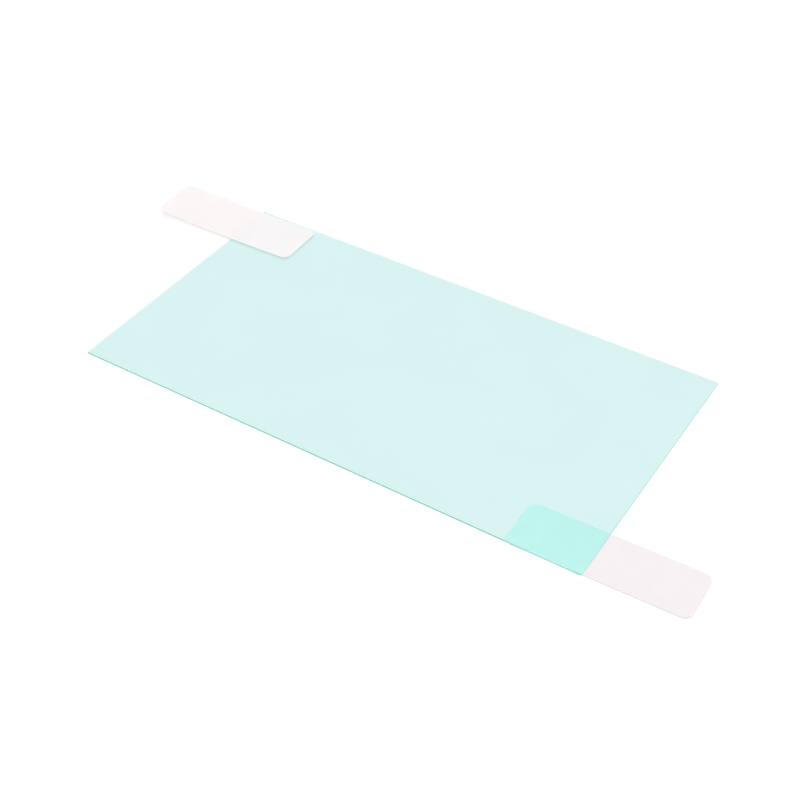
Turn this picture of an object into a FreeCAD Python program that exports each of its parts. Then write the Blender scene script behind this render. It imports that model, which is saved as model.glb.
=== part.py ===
"""Screen protector: a clear film between two peel-off liners, with a pull tab on each liner.

Millimetres, +Z up. +X runs along the film's long side and +Y along its short side. The origin is under the
middle of the film, on the surface that the protector lies on. The back pull tab lies on that surface, and the
liners, the film and the front pull tab are stacked above it face to face.
"""
import FreeCAD, Part
import enum
import math
import os

import Sketcher

# Driving dimensions: millimetres, and degrees for the two skew angles.
DIMENSIONS = {
    # The film and its two liners share one outline.
    "film_length": 95.0,
    "film_width": 52.0,
    "film_corner_radius": 0.3,
    "film_thickness": 0.15,
    "liner_thickness": 0.05,
    # Both pull tabs are cut from the same plastic, to one length but not quite to one width.
    "tab_length": 30.15,
    "front_tab_width": 10.5,
    "back_tab_width": 9.8,
    "tab_thickness": 0.1,
    "tab_corner_radius": 1.5,
    # Overlap: how far a tab reaches over the film from the film's short edge.
    # Inset: from the film's long edge to the tab's side, where the tab crosses the short edge.
    # Skew: each tab was stuck on by hand, and is turned a little to the left, seen from above.
    "front_tab_overlap": 12.75,
    "front_tab_inset": 0.75,
    "front_tab_skew": 1.5,
    "back_tab_overlap": 13.35,
    "back_tab_inset": 0.3,
    "back_tab_skew": 1.4,
    # The front tab's free end curls up on this radius, from the film's short edge outwards.
    "front_tab_curl_radius": 280.0,
}

# Heights of the stack, each worked out from the thicknesses below it.
BACK_LINER_HEIGHT = "sizes.tab_thickness"
FILM_HEIGHT = BACK_LINER_HEIGHT + " + sizes.liner_thickness"
FRONT_LINER_HEIGHT = FILM_HEIGHT + " + sizes.film_thickness"
FRONT_TAB_HEIGHT = FRONT_LINER_HEIGHT + " + sizes.liner_thickness"

# Free length of the front tab, and the angle that it curls through over that length.
FRONT_TAB_FREE = "(sizes.tab_length - sizes.front_tab_overlap)"
FRONT_TAB_CURL_ANGLE = FRONT_TAB_FREE + " / sizes.front_tab_curl_radius * 1 rad"

UP = FreeCAD.Vector(0, 0, 1)
HALF_TURN = 180
LENGTH_TOLERANCE = 1e-6


class Point(enum.IntEnum):
    """The points of a sketch edge, as constraints number them."""

    START = 1
    END = 2
    CENTRE = 3


class Axis(enum.IntEnum):
    """The sketch's own axes, as constraints number them. The first one starts at the origin."""

    HORIZONTAL = -1
    VERTICAL = -2


ORIGIN = (Axis.HORIZONTAL, Point.START)


def make_sheet(doc):
    """The spreadsheet of driving dimensions, one named cell each."""
    sheet = doc.addObject("Spreadsheet::Sheet", "sizes")
    for row, (alias, value) in enumerate(DIMENSIONS.items(), start=1):
        sheet.set(f"A{row}", alias)
        sheet.set(f"B{row}", str(value))
        sheet.setAlias(f"B{row}", alias)
    doc.recompute()
    return sheet


def make_body(doc, label):
    """An empty sub-part. Its label names its file."""
    body = doc.addObject("PartDesign::Body", label)
    body.Label = label
    return body


def place(body, x, y, height):
    """Bind a sub-part's place to the sheet."""
    body.setExpression("Placement.Base.x", x)
    body.setExpression("Placement.Base.y", y)
    body.setExpression("Placement.Base.z", height)


def turn(body, start, angle):
    """Turn a sub-part about +Z from a starting angle in degrees, and bind its angle to the sheet."""
    body.Placement.Rotation = FreeCAD.Rotation(UP, start)
    body.setExpression("Placement.Rotation.Angle", angle)


def make_sketch(body, name, plane_role):
    """A sketch on one of the sub-part's own origin planes."""
    plane = next(plane for plane in body.Origin.OriginFeatures if plane.Role == plane_role)
    sketch = body.newObject("Sketcher::SketchObject", name)
    sketch.AttachmentSupport = [(plane, "")]
    sketch.MapMode = "FlatFace"
    return sketch


def constrain(sketch, name, expression, *constraint):
    """Add a dimension to a sketch and bind it to the sheet."""
    sketch.renameConstraint(sketch.addConstraint(Sketcher.Constraint(*constraint)), name)
    sketch.setExpression(f"Constraints.{name}", expression)


def draw_rectangle(sketch, behind, length, width):
    """A rectangle that starts behind the origin and is centred across the X axis.

    It is drawn as a small square about the origin, which its dimensions then stretch.
    """
    half = 1.0
    corners = [
        FreeCAD.Vector(-half, -half),
        FreeCAD.Vector(half, -half),
        FreeCAD.Vector(half, half),
        FreeCAD.Vector(-half, half),
    ]
    near, front, far, back = [
        sketch.addGeometry(Part.LineSegment(corner, corners[(index + 1) % len(corners)]))
        for index, corner in enumerate(corners)
    ]
    sides = [near, front, far, back]
    for side, following in zip(sides, sides[1:] + sides[:1]):
        sketch.addConstraint(Sketcher.Constraint("Coincident", side, Point.END, following, Point.START))
    for side in (near, far):
        sketch.addConstraint(Sketcher.Constraint("Horizontal", side))
    for side in (front, back):
        sketch.addConstraint(Sketcher.Constraint("Vertical", side))
    constrain(sketch, "length", length, "DistanceX", near, Point.START, near, Point.END, 2 * half)
    constrain(sketch, "width", width, "DistanceY", front, Point.START, front, Point.END, 2 * half)
    constrain(sketch, "behind", behind, "DistanceX", near, Point.START, *ORIGIN, half)
    constrain(sketch, "half_width", f"{width} / 2", "DistanceY", near, Point.START, *ORIGIN, half)


def draw_curled_section(sketch):
    """The front tab's long section: flat over the film, then an arc up to the free end."""
    radius = DIMENSIONS["front_tab_curl_radius"]
    thickness = DIMENSIONS["tab_thickness"]
    overlap = DIMENSIONS["front_tab_overlap"]
    curl = (DIMENSIONS["tab_length"] - overlap) / radius
    centre = FreeCAD.Vector(0, radius)
    down = -math.pi / 2

    def arc(arc_radius):
        circle = Part.Circle(centre, UP, arc_radius)
        return Part.ArcOfCircle(circle, down, down + curl)

    lower_arc = arc(radius)
    upper_arc = arc(radius - thickness)
    inner_low = FreeCAD.Vector(-overlap, 0)
    inner_high = FreeCAD.Vector(-overlap, thickness)

    underside = sketch.addGeometry(Part.LineSegment(inner_low, lower_arc.StartPoint))
    lower = sketch.addGeometry(lower_arc)
    free_end = sketch.addGeometry(Part.LineSegment(lower_arc.EndPoint, upper_arc.EndPoint))
    upper = sketch.addGeometry(upper_arc)
    top = sketch.addGeometry(Part.LineSegment(upper_arc.StartPoint, inner_high))
    inner_end = sketch.addGeometry(Part.LineSegment(inner_high, inner_low))

    # One closed outline, with the section's bend at the sketch origin.
    for constraint in (
        ("Coincident", underside, Point.END, *ORIGIN),
        ("Coincident", underside, Point.END, lower, Point.START),
        ("Coincident", lower, Point.END, free_end, Point.START),
        ("Coincident", free_end, Point.END, upper, Point.END),
        ("Coincident", upper, Point.START, top, Point.START),
        ("Coincident", top, Point.END, inner_end, Point.START),
        ("Coincident", inner_end, Point.END, underside, Point.START),
        ("Horizontal", underside),
        ("Horizontal", top),
        ("Vertical", inner_end),
        # Both faces of the curl share a centre straight above the bend, so the flat runs on smoothly.
        ("PointOnObject", lower, Point.CENTRE, Axis.VERTICAL),
        ("Coincident", lower, Point.CENTRE, upper, Point.CENTRE),
        ("PointOnObject", upper, Point.START, Axis.VERTICAL),
        ("PointOnObject", lower, Point.CENTRE, free_end),
    ):
        sketch.addConstraint(Sketcher.Constraint(*constraint))
    across_overlap = ("DistanceX", underside, Point.START, *ORIGIN, overlap)
    through_tab = ("DistanceY", *ORIGIN, upper, Point.START, thickness)
    constrain(sketch, "overlap", "sizes.front_tab_overlap", *across_overlap)
    constrain(sketch, "thickness", "sizes.tab_thickness", *through_tab)
    constrain(sketch, "curl_radius", "sizes.front_tab_curl_radius", "Radius", lower, radius)
    constrain(sketch, "curl_angle", FRONT_TAB_CURL_ANGLE, "Angle", lower, curl)


def add_pad(body, sketch, length, symmetric=False):
    """Thicken a sketch to one side, or to both sides alike."""
    pad = body.newObject("PartDesign::Pad", f"{body.Name}_pad")
    pad.Profile = sketch
    pad.SideType = "Symmetric" if symmetric else "One side"
    pad.setExpression("Length", length)
    body.Document.recompute()
    return pad


def round_corners(body, pad, thickness, radius):
    """Round the edges that run through the sheet's thickness."""
    corners = [
        f"Edge{number}"
        for number, edge in enumerate(pad.Shape.Edges, start=1)
        if abs(edge.Length - thickness) < LENGTH_TOLERANCE
    ]
    fillet = body.newObject("PartDesign::Fillet", f"{body.Name}_corners")
    fillet.Base = (pad, corners)
    fillet.setExpression("Radius", radius)


def make_film_sheet(doc, sheet, label, height, thickness):
    """One flat sheet of the stack, in the film's outline: a rectangle with slightly rounded corners."""
    body = make_body(doc, label)
    sketch = make_sketch(body, f"{label}_outline", "XY_Plane")
    draw_rectangle(sketch, "sizes.film_length / 2", "sizes.film_length", "sizes.film_width")
    pad = add_pad(body, sketch, f"sizes.{thickness}")
    round_corners(body, pad, sheet.get(thickness), "sizes.film_corner_radius")
    place(body, "0", "0", height)
    return body


def make_back_tab(doc, sheet):
    """The tab under the back liner, flat on the surface, past the film's +X edge near its -Y edge."""
    body = make_body(doc, "back_pull_tab")
    sketch = make_sketch(body, "back_tab_outline", "XY_Plane")
    draw_rectangle(sketch, "sizes.back_tab_overlap", "sizes.tab_length", "sizes.back_tab_width")
    pad = add_pad(body, sketch, "sizes.tab_thickness")
    round_corners(body, pad, sheet.tab_thickness, "sizes.tab_corner_radius")
    place(
        body,
        "sizes.film_length / 2",
        "-(sizes.film_width / 2 - sizes.back_tab_inset - sizes.back_tab_width / 2)",
        "0",
    )
    turn(body, sheet.back_tab_skew, "sizes.back_tab_skew")
    return body


def make_front_tab(doc, sheet):
    """The tab on the front liner, past the film's -X edge near its +Y edge, with its free end curled up."""
    body = make_body(doc, "front_pull_tab")
    sketch = make_sketch(body, "front_tab_section", "XZ_Plane")
    draw_curled_section(sketch)
    pad = add_pad(body, sketch, "sizes.front_tab_width", symmetric=True)
    round_corners(body, pad, sheet.tab_thickness, "sizes.tab_corner_radius")
    place(
        body,
        "-sizes.film_length / 2",
        "sizes.film_width / 2 - sizes.front_tab_inset - sizes.front_tab_width / 2",
        FRONT_TAB_HEIGHT,
    )
    turn(body, HALF_TURN + sheet.front_tab_skew, f"{HALF_TURN} + sizes.front_tab_skew")
    return body


def check(doc, bodies):
    """Stop before anything is written if a feature failed or a sub-part is not one sound solid."""
    for item in doc.Objects:
        if {"Invalid", "Error"} & set(item.State):
            raise RuntimeError(f"{item.Label} did not build: {item.State}")
    for body in bodies:
        shape = body.Shape
        if shape.isNull() or not shape.isValid() or len(shape.Solids) != 1:
            raise RuntimeError(f"{body.Label} is not one sound solid")


def main():
    doc = FreeCAD.newDocument("screen_protector")
    sheet = make_sheet(doc)
    bodies = [
        make_back_tab(doc, sheet),
        make_film_sheet(doc, sheet, "back_liner", BACK_LINER_HEIGHT, "liner_thickness"),
        make_film_sheet(doc, sheet, "protector_film", FILM_HEIGHT, "film_thickness"),
        make_film_sheet(doc, sheet, "front_liner", FRONT_LINER_HEIGHT, "liner_thickness"),
        make_front_tab(doc, sheet),
    ]
    doc.recompute()
    check(doc, bodies)
    os.makedirs("parts", exist_ok=True)
    for body in bodies:
        body.Shape.exportStep(f"parts/{body.Label}.step")


main()
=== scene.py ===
# Looks of a screen protector: a stack of three clear sheets, and a white pull tab on each of its faces.
import math

import bmesh
import bpy
from mathutils import Matrix, Vector


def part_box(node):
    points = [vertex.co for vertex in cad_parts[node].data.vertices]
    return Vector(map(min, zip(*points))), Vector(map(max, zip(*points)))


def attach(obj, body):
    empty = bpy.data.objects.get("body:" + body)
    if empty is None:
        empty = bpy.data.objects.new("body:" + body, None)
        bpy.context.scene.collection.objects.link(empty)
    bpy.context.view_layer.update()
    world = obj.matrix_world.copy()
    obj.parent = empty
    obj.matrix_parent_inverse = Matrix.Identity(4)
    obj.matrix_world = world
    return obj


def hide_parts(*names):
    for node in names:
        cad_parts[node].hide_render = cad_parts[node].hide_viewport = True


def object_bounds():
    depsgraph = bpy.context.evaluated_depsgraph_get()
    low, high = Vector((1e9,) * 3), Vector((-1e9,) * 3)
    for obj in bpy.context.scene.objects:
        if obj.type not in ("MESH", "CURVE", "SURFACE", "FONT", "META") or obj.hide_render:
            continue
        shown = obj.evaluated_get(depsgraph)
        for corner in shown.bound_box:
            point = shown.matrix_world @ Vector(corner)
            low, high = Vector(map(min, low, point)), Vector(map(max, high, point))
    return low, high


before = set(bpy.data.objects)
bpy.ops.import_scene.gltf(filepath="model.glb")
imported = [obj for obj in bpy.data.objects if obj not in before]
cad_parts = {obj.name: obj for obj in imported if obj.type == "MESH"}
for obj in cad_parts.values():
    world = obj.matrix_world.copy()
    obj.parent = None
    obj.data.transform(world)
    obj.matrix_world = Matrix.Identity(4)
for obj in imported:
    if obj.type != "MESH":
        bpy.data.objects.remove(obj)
cad_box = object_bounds()

MM = 0.001

# Sizes that the frame's boxes don't show, as the solids have them
FILM_CORNER_RADIUS = 0.3 * MM
TAB_LENGTH = 30.15 * MM
TAB_CORNER_RADIUS = 1.5 * MM
FRONT_TAB_WIDTH = 10.5 * MM
FRONT_TAB_OVERLAP = 12.75 * MM
FRONT_TAB_INSET = 0.75 * MM
FRONT_TAB_SKEW = math.radians(1.5)
FRONT_TAB_CURL_RADIUS = 280 * MM
BACK_TAB_WIDTH = 9.8 * MM
BACK_TAB_OVERLAP = 13.35 * MM
BACK_TAB_INSET = 0.3 * MM
BACK_TAB_SKEW = math.radians(1.4)

# Fine form of the meshes
CONTACT_GAP = 0.004 * MM
SHEET_RIM = 0.012 * MM
SEAM_DEPTH = 0.012 * MM
SEAM_HALF_WIDTH = 0.006 * MM
TAB_RIM = 0.02 * MM
RIM_STEPS = 2
RIM_PROFILE = 0.5
CORNER_STEPS = 12
BEND_STRIP = 0.5 * MM
SNAP = 0.02 * MM

# A face looks mainly or wholly along an axis where its normal's part along that axis is over these
MAINLY = 0.5
WHOLLY = 0.99

# Noise that the materials share
NOISE_DETAIL = 2.0
NOISE_SPAN = (0.3, 0.7)

# Sheets: the light that passes all three one way, shared by the stack's two faces, and their gloss and haze
STACK_TINT = (0.71, 0.884, 0.884)
STACK_FACES = 2
TINT_CHANGE = 0.004
TINT_DRIFT_SIZE = 14 * MM
HEAD_ON_REFLECTION = 0.04
REFLECTION_POWER = 5.0
FACING_BLEND = 0.5
HAZE_ROUGHNESS = (0.05, 0.12)
HAZE_SIZE = 3 * MM
HAZE_DETAIL = 4.0
RIPPLE_SIZE = 1.5 * MM
RIPPLE_HEIGHT = 0.001 * MM
RIPPLE_STRENGTH = 0.4

# Cut edge of the sheets: its colour, paler where the back tab lights it, and how much of it shows
EDGE_COLOUR = (0.03, 0.64, 0.5)
EDGE_COLOUR_OVER_TAB = (0.32, 0.88, 0.75)
EDGE_CHANGE = 0.05
EDGE_DRIFT_SIZE = 2 * MM
EDGE_ROUGHNESS = 0.35
EDGE_IOR = 1.7
EDGE_ALPHA = 0.95
END_ALPHA_OVER_TAB = 0.12

# Tabs: their colours, bare and where glued to a sheet, with the painted light and shade noted below, the
# share of light that passes, and the grain
FRONT_TAB_COLOUR = (0.876, 0.839, 0.839)
# Painted light: the front tab's glued underside is lighter and bluer than its white, lifting the light it
# passes up over the film
FRONT_GLUED_LIGHTENED_COLOUR = (0.908, 0.917, 0.946)
# The mint line round the front tab's sides over the film: the glue's edge with a painted teal shadow
GLUE_LINE_AND_SHADOW_COLOUR = (0.3, 0.95, 0.82)
# Painted shade: the back tab is the same white as the front tab, painted a little darker
BACK_TAB_SHADED_COLOUR = (0.864, 0.826, 0.836)
BACK_GLUED_COLOUR = (0.856, 0.998, 0.941)
# Painted shade: the tabs' cut edges are a darker copy of their white, for the shade on their sides
TAB_EDGE_SHADE_COLOUR = (0.76, 0.727, 0.736)
TAB_THROUGH = 0.35
GLUED_THROUGH = 0.15
MOTTLE_CHANGE = 0.008
MOTTLE_SIZE = 2.5 * MM
GRAIN_SIZE = 0.12 * MM
GRAIN_HEIGHT = 0.002 * MM
GRAIN_STRENGTH = 0.5
TAB_NOISE_DETAIL = 3.0
TAB_ROUGHNESS = (0.42, 0.58)
TAB_SPECULAR = 0.35

# Camera: where it looks from and at, and its lens
CAMERA_AZIMUTH = math.radians(31.24)
CAMERA_ELEVATION = math.radians(40.97)
CAMERA_ROLL = math.radians(1.17)
CAMERA_DISTANCE = 240.69 * MM
CAMERA_TARGET = Vector((4.265, -6.98, 0.0)) * MM
CAMERA_LENS = 64.85
CAMERA_SENSOR = 36.0

# Light: a wide overhead lamp, a paler surround, and a floor that glows as a light table does
KEY_DIRECTION = Vector((-0.2, 0.25, 1.0))
KEY_STRENGTH = 3.1
KEY_ANGLE = math.radians(60)
SURROUND_LIGHT = 0.4
SURROUND_SEEN = 1.0
OVERHEAD_SEEN = 2.0
OVERHEAD_RISE = (0.8, 0.97)
FLOOR_COLOUR = (0.2, 0.2, 0.2, 1.0)
FLOOR_GLOW = 0.8
FLOOR_SIZE = 6.0
WHITE = (1.0, 1.0, 1.0, 1.0)


# Shader helpers

def new_shader(name):
    """An empty material, its node tree and its output node."""
    material = bpy.data.materials.new(name)
    material.use_nodes = True
    tree = material.node_tree
    tree.nodes.clear()
    output = tree.nodes.new("ShaderNodeOutputMaterial")
    return material, tree, output


def add_node(tree, kind, inputs=None, **settings):
    """A new node. Each input takes a plain value or another node's output socket."""
    node = tree.nodes.new(kind)
    for name, value in settings.items():
        setattr(node, name, value)
    for name, value in (inputs or {}).items():
        if isinstance(value, bpy.types.NodeSocket):
            tree.links.new(value, node.inputs[name])
        else:
            node.inputs[name].default_value = value
    return node


def add_math(tree, operation, *values):
    """The output of one Math node."""
    node = add_node(tree, "ShaderNodeMath", dict(enumerate(values)), operation=operation)
    return node.outputs[0]


def add_noise(tree, size, detail=NOISE_DETAIL):
    """Noise from 0 to 1 whose features are about this size, fixed to the piece."""
    place = add_node(tree, "ShaderNodeTexCoord").outputs["Object"]
    noise = add_node(tree, "ShaderNodeTexNoise", {"Vector": place, "Scale": 1 / size, "Detail": detail})
    return noise.outputs["Fac"]


def add_range(tree, value, low, high, span=NOISE_SPAN):
    """A value that runs over a span, stretched to run from low to high."""
    inputs = {"Value": value, "From Min": span[0], "From Max": span[1], "To Min": low, "To Max": high}
    return add_node(tree, "ShaderNodeMapRange", inputs).outputs["Result"]


def add_bump(tree, height, distance, strength):
    """A normal that follows a height, distance metres from low to high."""
    inputs = {"Height": height, "Distance": distance, "Strength": strength}
    return add_node(tree, "ShaderNodeBump", inputs).outputs["Normal"]


def add_colour_change(tree, factor, colour, change):
    """A colour that runs from a little darker to a little lighter with the factor."""
    darker = [channel * (1 - change) for channel in colour] + [1.0]
    lighter = [min(1.0, channel * (1 + change)) for channel in colour] + [1.0]
    mix = tree.nodes.new("ShaderNodeMix")
    mix.data_type = "RGBA"
    sockets = [s for s in mix.inputs if s.enabled]
    tree.links.new(factor, sockets[0])
    sockets[1].default_value = darker
    sockets[2].default_value = lighter
    return next(s for s in mix.outputs if s.enabled)


# Materials

def clear_plastic():
    """The stack's open faces: tinted, with the gloss and faint haze of a plastic sheet."""
    material, tree, output = new_shader("clear_face")
    tint = [channel ** (1 / STACK_FACES) for channel in STACK_TINT]
    drift = add_range(tree, add_noise(tree, TINT_DRIFT_SIZE), 0.0, 1.0)
    tinted = add_colour_change(tree, drift, tint, TINT_CHANGE)
    passed = add_node(tree, "ShaderNodeBsdfTransparent", {"Color": tinted})
    facing = add_node(tree, "ShaderNodeLayerWeight", {"Blend": FACING_BLEND}).outputs["Facing"]
    slanted = add_math(tree, "POWER", facing, REFLECTION_POWER)
    mirrored = add_math(tree, "MULTIPLY_ADD", slanted, 1 - HEAD_ON_REFLECTION, HEAD_ON_REFLECTION)
    haze = add_range(tree, add_noise(tree, HAZE_SIZE, HAZE_DETAIL), *HAZE_ROUGHNESS)
    ripple = add_bump(tree, add_noise(tree, RIPPLE_SIZE), RIPPLE_HEIGHT, RIPPLE_STRENGTH)
    gloss = add_node(tree, "ShaderNodeBsdfGlossy", {"Roughness": haze, "Normal": ripple})
    mix = add_node(tree, "ShaderNodeMixShader", {0: mirrored, 1: passed.outputs[0], 2: gloss.outputs[0]})
    tree.links.new(mix.outputs[0], output.inputs["Surface"])
    return material


def cut_edge(name, colour, alpha):
    """The sheets' cut edge, where the tint gathers. Seen from inside, it mirrors and looks clear."""
    material, tree, output = new_shader(name)
    turned = add_node(tree, "ShaderNodeFresnel", {"IOR": EDGE_IOR}).outputs[0]
    kept = add_math(tree, "SUBTRACT", 1.0, turned)
    drift = add_range(tree, add_noise(tree, EDGE_DRIFT_SIZE), 0.0, 1.0)
    shader = add_node(tree, "ShaderNodeBsdfPrincipled", {
        "Base Color": add_colour_change(tree, drift, colour, EDGE_CHANGE),
        "Roughness": EDGE_ROUGHNESS,
        "Alpha": add_math(tree, "MULTIPLY", kept, alpha),
    })
    tree.links.new(shader.outputs[0], output.inputs["Surface"])
    return material


def tab_plastic(name, colour, through):
    """Satin strip with a faint mottle and a fine grain, thin enough to let light through."""
    material, tree, output = new_shader(name)
    mottle = add_range(tree, add_noise(tree, MOTTLE_SIZE, TAB_NOISE_DETAIL), 0.0, 1.0)
    mottled = add_colour_change(tree, mottle, colour, MOTTLE_CHANGE)
    grain = add_noise(tree, GRAIN_SIZE, TAB_NOISE_DETAIL)
    face = add_node(tree, "ShaderNodeBsdfPrincipled", {
        "Base Color": mottled,
        "Roughness": add_range(tree, grain, *TAB_ROUGHNESS),
        "Specular IOR Level": TAB_SPECULAR,
        "Normal": add_bump(tree, grain, GRAIN_HEIGHT, GRAIN_STRENGTH),
    })
    lit = add_node(tree, "ShaderNodeBsdfTranslucent", {"Color": mottled})
    mix = add_node(tree, "ShaderNodeMixShader", {0: through, 1: face.outputs[0], 2: lit.outputs[0]})
    tree.links.new(mix.outputs[0], output.inputs["Surface"])
    return material


# Meshes

def rounded_outline(x_low, x_high, y_low, y_high, radius):
    """A rectangle's outline with round corners, anticlockwise."""
    corners = [
        (x_high - radius, y_high - radius, 0),
        (x_low + radius, y_high - radius, 90),
        (x_low + radius, y_low + radius, 180),
        (x_high - radius, y_low + radius, 270),
    ]
    points = []
    for x, y, start in corners:
        for step in range(CORNER_STEPS + 1):
            angle = math.radians(start + 90 * step / CORNER_STEPS)
            points.append((x + radius * math.cos(angle), y + radius * math.sin(angle)))
    return points


def is_side(face):
    """Whether a face looks outwards and not mainly up or down."""
    return abs(face.normal.z) < MAINLY


def cut_across(slab, point, normal):
    """Split the faces along a plane."""
    everything = slab.verts[:] + slab.edges[:] + slab.faces[:]
    bmesh.ops.bisect_plane(slab, geom=everything, dist=SNAP, plane_co=point, plane_no=normal)


def make_slab(outline, low, high, cuts):
    """A closed flat slab over an outline, cut across at each of the planes (point, normal) in cuts."""
    slab = bmesh.new()
    slab.faces.new([slab.verts.new((x, y, low)) for x, y in outline])
    for point, normal in cuts:
        cut_across(slab, point, normal)
    raised = bmesh.ops.extrude_face_region(slab, geom=slab.faces[:])["geom"]
    top = [part for part in raised if isinstance(part, bmesh.types.BMVert)]
    bmesh.ops.translate(slab, verts=top, vec=(0, 0, high - low))
    bmesh.ops.recalc_face_normals(slab, faces=slab.faces[:])
    return slab


def round_rim(slab, width):
    """Break the edges between the slab's flat faces and its sides."""
    slab.normal_update()
    rim = [e for e in slab.edges if is_side(e.link_faces[0]) != is_side(e.link_faces[1])]
    bmesh.ops.bevel(slab, geom=rim, offset=width, segments=RIM_STEPS, profile=RIM_PROFILE, affect="EDGES")
    slab.normal_update()


def make_piece(name, slab, materials, choose, nodes):
    """Finish a piece, attach it to the root body and hide the parts it stands for: choose gives each face's
    place in materials.
    """
    slab.normal_update()
    for face in slab.faces:
        face.material_index = choose(face)
        face.smooth = True
    mesh = bpy.data.meshes.new(name)
    slab.to_mesh(mesh)
    slab.free()
    for material in materials:
        mesh.materials.append(material)
    piece = bpy.data.objects.new(name, mesh)
    bpy.context.scene.collection.objects.link(piece)
    even = piece.modifiers.new("even_normals", "WEIGHTED_NORMAL")
    even.keep_sharp = True
    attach(piece, "root")
    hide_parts(*nodes)


# Pieces

def make_film_stack(open_face, edge, side_over_tab, end_over_tab):
    """The three bonded sheets. No face shows between them, so only the cut edge has their seams."""
    low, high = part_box("protector_film")
    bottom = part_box("back_liner")[0].z + CONTACT_GAP / 2
    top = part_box("front_liner")[1].z - CONTACT_GAP / 2
    rings = [(bottom, SHEET_RIM), (bottom + SHEET_RIM, 0.0)]
    for seam in (low.z, high.z):
        rings += [(seam - SEAM_HALF_WIDTH, 0.0), (seam, SEAM_DEPTH), (seam + SEAM_HALF_WIDTH, 0.0)]
    rings += [(top - SHEET_RIM, 0.0), (top, SHEET_RIM)]

    slab = bmesh.new()
    loops = []
    for height, inset in rings:
        outline = rounded_outline(
            low.x + inset, high.x - inset, low.y + inset, high.y - inset, FILM_CORNER_RADIUS - inset)
        loops.append([slab.verts.new((x, y, height)) for x, y in outline])
    for lower, upper in zip(loops, loops[1:]):
        for here in range(len(lower)):
            after = (here + 1) % len(lower)
            slab.faces.new((lower[here], lower[after], upper[after], upper[here]))
    slab.faces.new(reversed(loops[0]))
    slab.faces.new(loops[-1])

    # The paler edge starts half way round the back tab's corner
    tab_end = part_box("back_pull_tab")[0].x + TAB_CORNER_RADIUS / 2
    tab_side = low.y + BACK_TAB_INSET + BACK_TAB_WIDTH
    cut_across(slab, (tab_end, 0, 0), (1, 0, 0))
    cut_across(slab, (0, tab_side, 0), (0, 1, 0))

    def choose(face):
        if abs(face.normal.z) > WHOLLY:
            return 0
        middle = face.calc_center_median()
        if middle.x < tab_end or middle.y > tab_side:
            return 1
        return 3 if face.normal.x > MAINLY else 2

    looks = [open_face, edge, side_over_tab, end_over_tab]
    sheets = ("front_liner", "protector_film", "back_liner")
    make_piece("film_stack", slab, looks, choose, sheets)


def tab_slab(overlap, width, low, thickness, cuts):
    """A tab's strip in its own frame: x runs outwards from the film's short edge, which is at x 0."""
    outline = rounded_outline(-overlap, TAB_LENGTH - overlap, -width / 2, width / 2, TAB_CORNER_RADIUS)
    slab = make_slab(outline, low, low + thickness, cuts)
    round_rim(slab, TAB_RIM)
    return slab


def curl(slab, low):
    """Bend the free end up on its radius."""
    for vertex in slab.verts:
        if vertex.co.x <= 0:
            continue
        angle = vertex.co.x / FRONT_TAB_CURL_RADIUS
        radius = FRONT_TAB_CURL_RADIUS - (vertex.co.z - low)
        vertex.co.x = radius * math.sin(angle)
        vertex.co.z = low + FRONT_TAB_CURL_RADIUS - radius * math.cos(angle)


def make_front_tab(white, edge, glued, glue_line_and_shadow):
    """The tab on the top face. Its glued face looks down and is painted lighter as painted light. Round its
    sides over the film the glue's edge shows with a painted teal shadow, and its other sides carry the cut
    edge's painted shade.
    """
    film_low, film_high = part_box("front_liner")
    across = film_high.y - FRONT_TAB_INSET - FRONT_TAB_WIDTH / 2
    place = Matrix.Translation((film_low.x, across, 0)) @ Matrix.Rotation(math.pi + FRONT_TAB_SKEW, 4, "Z")
    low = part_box("front_pull_tab")[0].z
    # The curl makes this tab's box tall, so the thickness is the flat tab's
    flat_low, flat_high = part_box("back_pull_tab")
    strips = math.ceil((TAB_LENGTH - FRONT_TAB_OVERLAP) / BEND_STRIP)
    cuts = [((BEND_STRIP * step, 0, 0), (1, 0, 0)) for step in range(strips)]
    slab = tab_slab(FRONT_TAB_OVERLAP, FRONT_TAB_WIDTH, low, flat_high.z - flat_low.z, cuts)
    curl(slab, low)
    slab.transform(place)

    def choose(face):
        inside = face.calc_center_median().x > film_low.x
        # Sides over the film take the glue line with its painted teal shadow, the other sides the cut
        # edge's painted shade
        if is_side(face):
            return 3 if inside else 1
        return 2 if inside and face.normal.z < 0 else 0

    looks = [white, edge, glued, glue_line_and_shadow]
    make_piece("front_tab_strip", slab, looks, choose, ["front_pull_tab"])


def make_back_tab(white, edge, glued):
    """The tab under the film. Its glued face looks up through the sheets."""
    film_low, film_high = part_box("back_liner")
    across = film_low.y + BACK_TAB_INSET + BACK_TAB_WIDTH / 2
    place = Matrix.Translation((film_high.x, across, 0)) @ Matrix.Rotation(BACK_TAB_SKEW, 4, "Z")
    low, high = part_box("back_pull_tab")
    film_edge = place.inverted().to_3x3() @ Vector((1, 0, 0))
    slab = tab_slab(BACK_TAB_OVERLAP, BACK_TAB_WIDTH, low.z, high.z - low.z, [((0, 0, 0), film_edge)])
    slab.transform(place)

    def choose(face):
        # Its sides take the cut edge's painted shade
        if is_side(face):
            return 1
        inside = face.calc_center_median().x < film_high.x
        return 2 if inside and face.normal.z > 0 else 0

    looks = [white, edge, glued]
    make_piece("back_tab_strip", slab, looks, choose, ["back_pull_tab"])


# Studio

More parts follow.
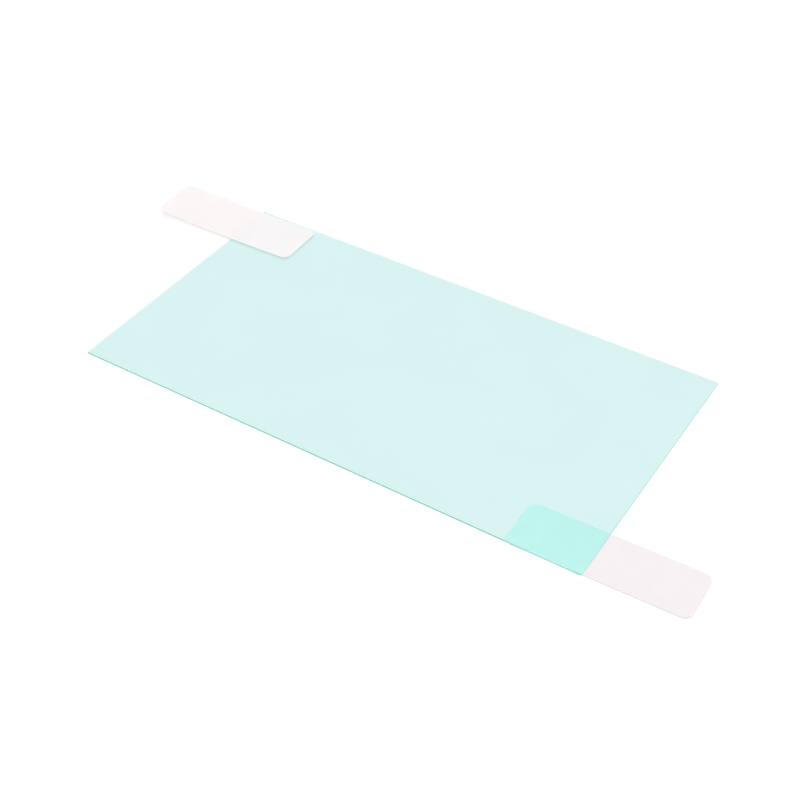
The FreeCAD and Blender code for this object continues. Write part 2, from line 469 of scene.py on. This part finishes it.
def make_floor():
    """A plain floor just under the part, lit from within."""
    material, tree, output = new_shader("pale_floor")
    shader = add_node(tree, "ShaderNodeBsdfPrincipled", {
        "Base Color": FLOOR_COLOUR,
        "Roughness": 1.0,
        "Specular IOR Level": 0.0,
        "Emission Color": WHITE,
        "Emission Strength": FLOOR_GLOW,
    })
    tree.links.new(shader.outputs[0], output.inputs["Surface"])
    slab = bmesh.new()
    bmesh.ops.create_grid(slab, x_segments=1, y_segments=1, size=FLOOR_SIZE / 2)
    mesh = bpy.data.meshes.new("floor")
    slab.to_mesh(mesh)
    slab.free()
    mesh.materials.append(material)
    floor = bpy.data.objects.new("floor", mesh)
    bpy.context.scene.collection.objects.link(floor)
    floor.location.z = cad_box[0].z - CONTACT_GAP


def make_lights():
    """A wide lamp that isn't mirrored, and a surround that lights less than its mirror image shows."""
    lamp = bpy.data.lights.new("key", "SUN")
    lamp.energy = KEY_STRENGTH
    lamp.angle = KEY_ANGLE
    key = bpy.data.objects.new("key", lamp)
    bpy.context.scene.collection.objects.link(key)
    key.rotation_mode = "QUATERNION"
    key.rotation_quaternion = KEY_DIRECTION.to_track_quat("Z", "Y")
    key.visible_glossy = False

    world = bpy.data.worlds.new("surround")
    bpy.context.scene.world = world
    world.use_nodes = True
    tree = world.node_tree
    tree.nodes.clear()
    path = add_node(tree, "ShaderNodeLightPath")
    seen = add_math(tree, "MAXIMUM", path.outputs["Is Camera Ray"], path.outputs["Is Glossy Ray"])
    direction = add_node(tree, "ShaderNodeTexCoord").outputs["Generated"]
    height = add_node(tree, "ShaderNodeSeparateXYZ", {"Vector": direction}).outputs["Z"]
    extra_around = SURROUND_SEEN - SURROUND_LIGHT
    extra_overhead = OVERHEAD_SEEN - SURROUND_LIGHT
    extra = add_range(tree, height, extra_around, extra_overhead, OVERHEAD_RISE)
    strength = add_math(tree, "MULTIPLY_ADD", seen, extra, SURROUND_LIGHT)
    background = add_node(tree, "ShaderNodeBackground", {"Color": WHITE, "Strength": strength})
    output = add_node(tree, "ShaderNodeOutputWorld")
    tree.links.new(background.outputs[0], output.inputs["Surface"])


def make_camera():
    """The camera looks at its target from its azimuth and elevation, with a little roll."""
    flat = math.cos(CAMERA_ELEVATION)
    back = Vector((
        math.sin(CAMERA_AZIMUTH) * flat,
        -math.cos(CAMERA_AZIMUTH) * flat,
        math.sin(CAMERA_ELEVATION),
    ))
    level = Vector((math.cos(CAMERA_AZIMUTH), math.sin(CAMERA_AZIMUTH), 0.0))
    upright = back.cross(level)
    right = math.cos(CAMERA_ROLL) * level + math.sin(CAMERA_ROLL) * upright
    up = back.cross(right)
    turn = Matrix((right, up, back)).transposed()
    data = bpy.data.cameras.new("camera")
    data.lens = CAMERA_LENS
    data.sensor_width = CAMERA_SENSOR
    camera = bpy.data.objects.new("camera", data)
    bpy.context.scene.collection.objects.link(camera)
    camera.matrix_world = Matrix.Translation(CAMERA_TARGET + back * CAMERA_DISTANCE) @ turn.to_4x4()
    bpy.context.scene.camera = camera


make_film_stack(
    clear_plastic(),
    cut_edge("film_cut_edge", EDGE_COLOUR, EDGE_ALPHA),
    cut_edge("film_side_over_tab", EDGE_COLOUR_OVER_TAB, EDGE_ALPHA),
    cut_edge("film_end_over_tab", EDGE_COLOUR_OVER_TAB, END_ALPHA_OVER_TAB),
)
# The tabs' cut edges: their white darkened with painted shade
tab_edge_shade = tab_plastic("tab_cut_edge_painted_shade", TAB_EDGE_SHADE_COLOUR, TAB_THROUGH)
make_front_tab(
    tab_plastic("front_tab_white", FRONT_TAB_COLOUR, TAB_THROUGH),
    tab_edge_shade,
    tab_plastic("front_tab_glued_painted_light", FRONT_GLUED_LIGHTENED_COLOUR, TAB_THROUGH),
    tab_plastic("front_tab_glue_line_and_shadow", GLUE_LINE_AND_SHADOW_COLOUR, GLUED_THROUGH),
)
make_back_tab(
    tab_plastic("back_tab_white_shaded", BACK_TAB_SHADED_COLOUR, TAB_THROUGH),
    tab_edge_shade,
    tab_plastic("back_tab_glued", BACK_GLUED_COLOUR, GLUED_THROUGH),
)
make_floor()
make_lights()
make_camera()
bpy.context.scene.view_settings.view_transform = "Standard"
